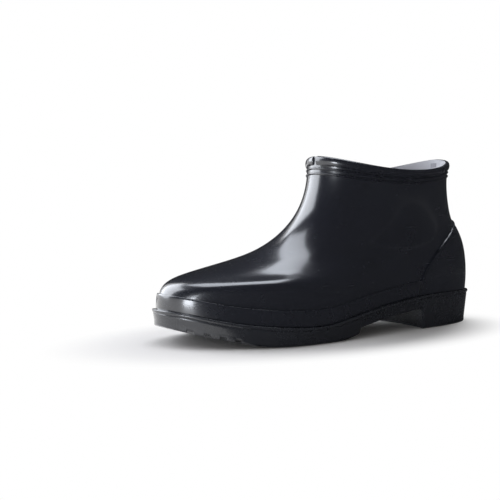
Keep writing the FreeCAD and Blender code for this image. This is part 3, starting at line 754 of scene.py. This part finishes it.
class Tree:
    # the nodes of a material or of the world: each is added by its kind, settings and sockets
    def __init__(self, owner):
        owner.use_nodes = True
        self.nodes, self.links = owner.node_tree.nodes, owner.node_tree.links
        self.nodes.clear()

    def fill(self, made, sockets):
        # links a wire to its socket, or sets the socket's value; colours get an alpha of 1
        for key, value in sockets.items():
            socket = made.inputs[key]
            if isinstance(value, Wire):
                self.links.new(value.socket, socket)
            elif value is not None:
                if hasattr(socket.default_value, "__len__") and len(value) < len(socket.default_value):
                    value = tuple(value) + (1.0,)
                socket.default_value = value

    def node(self, kind, settings=None, sockets=None, output=0):
        # a new node's output; its settings are its properties or the stops of its ramp
        made = self.nodes.new(kind)
        for key, value in (settings or {}).items():
            if key == "stops":
                for stop, (where, shade) in zip(made.color_ramp.elements, value):
                    stop.position, stop.color = where, (shade, shade, shade, 1)
            else:
                setattr(made, key, value)
        self.fill(made, sockets or {})
        return Wire(self, made, made.outputs[output] if made.outputs else None)

    def seenDirectly(self):
        # 1 for what the camera, gloss and glass see, 0 for the light on the boot
        rays = [self.node("ShaderNodeLightPath", output=ray)
                for ray in ("Is Camera Ray", "Is Glossy Ray", "Is Transmission Ray")]
        return (rays[0] + rays[1] + rays[2]).least(1.0)


class Finish(Tree):
    # a material whose shader is set up with the values that stay the same all over
    def __init__(self, name, **fixed):
        self.material = bpy.data.materials.new(name)
        super().__init__(self.material)
        self.shader = self.node("ShaderNodeBsdfPrincipled")
        self.surface(**fixed)
        self.output = self.node("ShaderNodeOutputMaterial", None, {"Surface": self.shader})

    def surface(self, **sockets):
        # sets sockets of the shader, named with low lines in place of spaces
        self.fill(self.shader.made, {key.replace("_", " "): value for key, value in sockets.items()})

    def place(self, output="Object"):
        return self.node("ShaderNodeTexCoord", output=output)

    def stretch(self, place, scale):
        return self.node("ShaderNodeMapping", None, {"Vector": place, "Scale": scale})

    def noise(self, scale, detail=2.0, rough=0.5, place=None):
        return self.node("ShaderNodeTexNoise", None,
                         {"Vector": place or self.place(), "Scale": scale, "Detail": detail, "Roughness": rough})

    def ramp(self, value, low, high):
        # 0 up to the low value, 1 from the high one on
        return self.node("ShaderNodeValToRGB", {"stops": ((low, 0.0), (high, 1.0))}, {0: value})

    def blend(self, factor, first, second):
        return self.node("ShaderNodeMix", {"data_type": "RGBA"}, {0: factor, 6: first, 7: second}, output=2)

    def bump(self, height, depth, below=None):
        return self.node("ShaderNodeBump", None,
                         {"Height": height, "Distance": depth, "Strength": 1.0, "Normal": below})

    def axis(self, name, place=None):
        return self.node("ShaderNodeSeparateXYZ", None, {0: place or self.place()}, output=name)


def lacquerRubber(name, gloss, ripple):
    # glossy blue-black rubber under a clear lacquer, with moulding ripple, dust and rubbed places
    f = Finish(name, IOR=1.6, Coat_Weight=1.0, Coat_Roughness=0.15, Coat_IOR=1.6)
    cloud = f.noise(14.0, 3.0)
    patch = f.noise(45.0, 5.0, 0.6)
    dust = f.ramp(f.noise(650.0, 1.0, 0.5), 0.76, 0.84)
    rubbed = f.ramp(patch, 0.45, 0.75)
    scratch = f.noise(60.0, 4.0, 0.7, f.stretch(f.place(), (1.0, 0.25, 9.0)))
    fine = f.ramp(scratch, 0.62, 0.7)
    shade = f.blend(cloud, (0.0155, 0.0168, 0.0232), (0.0192, 0.021, 0.029))
    shade = f.blend(dust * 0.1, shade, (0.05, 0.052, 0.058))
    rough = gloss + cloud * 0.04 + rubbed * 0.05 + dust * 0.15 + fine * 0.03
    slow = f.bump(f.noise(22.0, 1.0), 0.0016 * ripple)
    peel = f.bump(f.noise(210.0, 2.0), 0.00005 * ripple, slow)
    grain = f.bump(f.noise(2400.0, 2.0) + fine * 0.3, 0.000006, peel)
    f.surface(Base_Color=shade, Roughness=rough, Normal=grain)
    return f.material


def treadRubber(name):
    # satin rubber of the sole, dusty on the ground side
    f = Finish(name, IOR=1.6, Coat_Weight=0.8, Coat_Roughness=0.2)
    height = f.axis("Z")
    cloud = f.noise(30.0, 4.0, 0.6)
    speck = f.ramp(f.noise(700.0, 3.0, 0.7), 0.6, 0.72)
    dirt = (1 - (height * 600.0)).most(0.0).least(1.0) * (0.35 + cloud * 0.65)
    shade = f.blend(cloud, (0.0225, 0.024, 0.029), (0.027, 0.0287, 0.0348))
    shade = f.blend(dirt * 0.4, shade, (0.055, 0.052, 0.048))
    shade = f.blend(speck * 0.08, shade, (0.045, 0.046, 0.05))
    rough = 0.24 + cloud * 0.06 + dirt * 0.25 + speck * 0.06
    skinBump = f.bump(f.noise(420.0, 3.0, 0.6), 0.00002)
    grain = f.bump(f.noise(2600.0, 2.0), 0.000006, skinBump)
    f.surface(Base_Color=shade, Roughness=rough, Normal=grain)
    return f.material


def knitCloth(name, light, dark, pitch, uvName="UV"):
    # columns of small v-shaped loops; the bump is a bowed column times the slanted rows, and the colour darkens with
    # the same loops as painted shade between them
    f = Finish(name, Specular_IOR_Level=0.2, Sheen_Weight=0.6, Sheen_Roughness=0.5)
    place = f.place(uvName)
    wide, high = f.axis("X", place), f.axis("Y", place)
    column = (wide / pitch).part()
    lean = abs(column - 0.5)
    row = ((high / (pitch * 0.8) + lean * 1.1) * (2 * math.pi)).sine() * 0.5 + 0.5
    loop = (column * math.pi).sine() * (0.35 + row * 0.65)
    fuzz = f.noise(1500.0, 3.0, 0.7)
    tone = f.noise(18.0, 3.0)
    # painted shade: the colour follows the loops' height, darker in the hollows between loops, with real fuzz noise
    # mixed in
    shade = f.blend(loop * 0.6 + fuzz * 0.4, dark, light)
    shade = f.blend(tone * 0.3, shade, dark)
    knit = f.bump(loop, 0.00035)
    f.surface(Base_Color=shade, Roughness=0.8 + tone * 0.15, Normal=f.bump(fuzz, 0.0002, knit))
    return f.material


def plainStock(name, light, dark, scale, rough, depth, stretch=(1, 1, 1), metal=0.0):
    # grain of felt, board, foam, sheet or steel from stretched noise
    f = Finish(name, Metallic=metal)
    place = f.stretch(f.place(), stretch)
    grain = f.noise(scale, 5.0, 0.65, place)
    cloud = f.noise(scale * 0.06, 2.0)
    shade = f.blend(f.ramp(grain, 0.35, 0.65), dark, light)
    f.surface(Base_Color=f.blend(cloud * 0.4, shade, dark), Roughness=rough + cloud * 0.12, Normal=f.bump(grain, depth))
    return f.material


def wear(piece, material):
    # the one material of a piece
    piece.data.materials.clear()
    piece.data.materials.append(material)


upperFinish = lacquerRubber("upper lacquer", 0.22, 1.0)
trimFinish = lacquerRubber("trim lacquer", 0.24, 0.6)
soleFinish = treadRubber("sole rubber")
liningFinish = knitCloth("lining knit", (0.92, 0.91, 0.93), (0.74, 0.73, 0.76), 0.0016)
coverFinish = knitCloth("footbed knit", (0.5, 0.5, 0.53), (0.27, 0.27, 0.3), 0.0018, "Object")
tapeFinish = knitCloth("tape knit", (0.6, 0.59, 0.62), (0.36, 0.35, 0.39), 0.0009, "Object")
foamFinish = plainStock("bed foam", (0.14, 0.15, 0.17), (0.06, 0.065, 0.08), 1500.0, 0.85, 0.0002)
puffFinish = plainStock("puff sheet", (0.5, 0.46, 0.38), (0.34, 0.3, 0.24), 900.0, 0.7, 0.0001)
stiffenerFinish = plainStock("stiffener sheet", (0.48, 0.44, 0.37), (0.32, 0.29, 0.23), 800.0, 0.7, 0.0001)
for piece, finish in ((upper, upperFinish), (foxing, trimFinish), (counter, upperFinish), (binding, trimFinish),
                      (ridgeUpper, trimFinish), (ridgeLower, trimFinish), (outsole, soleFinish), (lining, liningFinish),
                      (tape, tapeFinish), (cover, coverFinish), (bed, foamFinish), (puff, puffFinish),
                      (stiffener, stiffenerFinish)):
    wear(piece, finish)
hiddenFinishes = {
    "insole_board": plainStock("fibre board", (0.36, 0.27, 0.18), (0.2, 0.14, 0.09), 1200.0, 0.85, 0.0001),
    "bottom_filler": plainStock("grey felt", (0.3, 0.3, 0.29), (0.12, 0.12, 0.12), 1600.0, 0.95, 0.0003),
    "shank": plainStock("rolled steel", (0.56, 0.57, 0.58), (0.38, 0.38, 0.4), 900.0, 0.32, 0.00002, (6, 0.3, 6), 1.0),
    "heel_core": plainStock("core crumb", (0.03, 0.03, 0.031), (0.012, 0.012, 0.012), 500.0, 0.75, 0.0003),
}
for node, finish in hiddenFinishes.items():
    wear(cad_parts[node], finish)
print("finishes made")


def direction(azimuth, elevation):
    # unit vector in degrees: azimuth from the toe's side towards the outer side, elevation above the floor
    a, e = math.radians(azimuth), math.radians(elevation)
    return Vector((math.sin(a) * math.cos(e), -math.cos(a) * math.cos(e), math.sin(e)))


def softBox(name, azimuth, elevation, distance, width, height, glow):
    # an area lamp facing the boot, whose energy is its glow times pi times its area
    lamp = bpy.data.lights.new(name, "AREA")
    lamp.shape, lamp.size, lamp.size_y = "RECTANGLE", width, height
    lamp.energy = glow * math.pi * width * height
    lamp.color = lampTint
    holder = bpy.data.objects.new(name, lamp)
    bpy.context.scene.collection.objects.link(holder)
    towards = direction(azimuth, elevation)
    holder.location = towards * distance + Vector((0, 0, bootMiddle))
    holder.rotation_euler = towards.to_track_quat("Z", "Y").to_euler()


lampTint, bootMiddle = (0.87, 0.915, 1.0), 0.06
softBoxes = {
    # azimuth, elevation, distance, width, height, glow
    "left bank": (-55, 28, 1.3, 1.35, 1.15, 3.25),
    "front slot": (19, 1, 1.3, 0.34, 0.3, 13.5),
    "top bank": (-112, 76, 1.4, 1.05, 0.9, 3.35),
}
for name, values in softBoxes.items():
    softBox(name, *values)


cards = {
    # azimuths and elevations of its edges, radius
    "card side": ((24, 212), (0, 62), 0.6),
    "card front": ((-28, 42), (9, 80), 2.4),
    "card left": ((-150, -97), (0, 52), 2.4),
    "card sky": ((0, 360), (49, 89.9), 2.5),
}
groundCard = {"azimuths": (24, 285), "near": 0.004, "far": 0.59, "height": 0.0006}
cardColumns, cardRows = 25, 13


def darkCard(name, metres):
    # a black card that only the gloss picks up
    quads, _ = gridQuads(cardColumns, cardRows, False, False)
    card = finishMesh(name, metres.reshape(-1, 3) * 1000, quads, 180)
    card.visible_camera = card.visible_diffuse = card.visible_shadow = False
    wear(card, cardFinish)


def makeCards():
    # patches of spheres round the boot, and one flat ring sector on the floor, round and under it
    for name, (azimuths, elevations, radius) in cards.items():
        a = np.radians(np.linspace(*azimuths, cardColumns))[:, None]
        e = np.radians(np.linspace(*elevations, cardRows))[None, :]
        darkCard(name, np.stack([np.sin(a) * np.cos(e), -np.cos(a) * np.cos(e), np.sin(e) + 0 * a], -1) * radius)
    a = np.radians(np.linspace(*groundCard["azimuths"], cardColumns))[:, None]
    r = np.linspace(groundCard["near"], groundCard["far"], cardRows)[None, :]
    darkCard("card ground", np.stack([r * np.sin(a), -r * np.cos(a), groundCard["height"] + 0 * r * a], -1))


floorShape = {
    # half axes of the oval round the boot, its middle's distance towards the toe, and where the fade to white
    # starts and ends as shares of the oval
    "halfWidth": 0.084,
    "halfLength": 0.15,
    "toeward": 0.025,
    "fadeStart": 0.85,
    "fadeEnd": 1.4,
    "rings": (200, 40000, 40),
    "around": 65,
}


def makeFloor():
    # a flat disc of paper, which fades to white by the elliptical distance from the boot
    r = np.append(0.0, np.geomspace(*floorShape["rings"]))[:, None]
    a = np.linspace(0, 2 * math.pi, floorShape["around"])[None, :]
    grid = np.stack([r * np.cos(a), r * np.sin(a), 0 * r * a], -1)
    quads, _ = gridQuads(*grid.shape[:2], False, False)
    floor = finishMesh("floor", grid.reshape(-1, 3), quads, 180)
    f = Finish("floor paper", Roughness=0.75, Specular_IOR_Level=0.2)
    x = f.axis("X") / floorShape["halfWidth"]
    y = (f.axis("Y") + floorShape["toeward"]) / floorShape["halfLength"]
    away = (x * x + y * y) ** 0.5
    tooth = f.noise(900.0, 3.0)
    f.surface(Base_Color=f.blend(tooth, (0.825, 0.79, 0.75), (0.865, 0.83, 0.785)), Normal=f.bump(tooth, 0.00003))
    fade = f.node("ShaderNodeMapRange", {"interpolation_type": "SMOOTHSTEP"},
                  {0: away, 1: floorShape["fadeStart"], 2: floorShape["fadeEnd"], 3: 0.0, 4: 1.0})
    white = f.node("ShaderNodeEmission", None, {0: (1, 1, 1), 1: 1.0})
    paper = f.node("ShaderNodeMixShader", None, {0: fade * f.seenDirectly(), 1: f.shader, 2: white})
    f.fill(f.output.made, {"Surface": paper})
    wear(floor, f.material)


def makeWorld():
    # a dim cool fill lights the boot; what is seen of the world is white
    world = bpy.data.worlds.new("studio")
    bpy.context.scene.world = world
    w = Tree(world)
    fill = w.node("ShaderNodeBackground", None, {0: (0.94, 0.96, 1), 1: 0.3})
    white = w.node("ShaderNodeBackground", None, {0: (1, 1, 1), 1: 1.0})
    both = w.node("ShaderNodeMixShader", None, {0: w.seenDirectly(), 1: fill, 2: white})
    w.node("ShaderNodeOutputWorld", None, {0: both})


view = {"place": (0.65106, -0.515, 0.12), "aim": (-0.03474, -0.0453, 0.0624), "lens": 77.63, "sensor": 36.0}


def makeCamera():
    # stands off the toe's outer side, a little below the collar's height
    lens = bpy.data.cameras.new("camera")
    lens.lens, lens.sensor_width, lens.clip_start = view["lens"], view["sensor"], 0.01
    camera = bpy.data.objects.new("camera", lens)
    bpy.context.scene.collection.objects.link(camera)
    camera.location = view["place"]
    aim = Vector(view["aim"]) - camera.location
    camera.rotation_euler = aim.to_track_quat("-Z", "Y").to_euler()
    bpy.context.scene.camera = camera


makeFloor()
makeWorld()
makeCamera()
cardFinish = Finish("card black", Roughness=0.9, Base_Color=(0.02, 0.02, 0.022, 1)).material
makeCards()
bpy.context.scene.view_settings.view_transform = "Standard"
print("stage made")
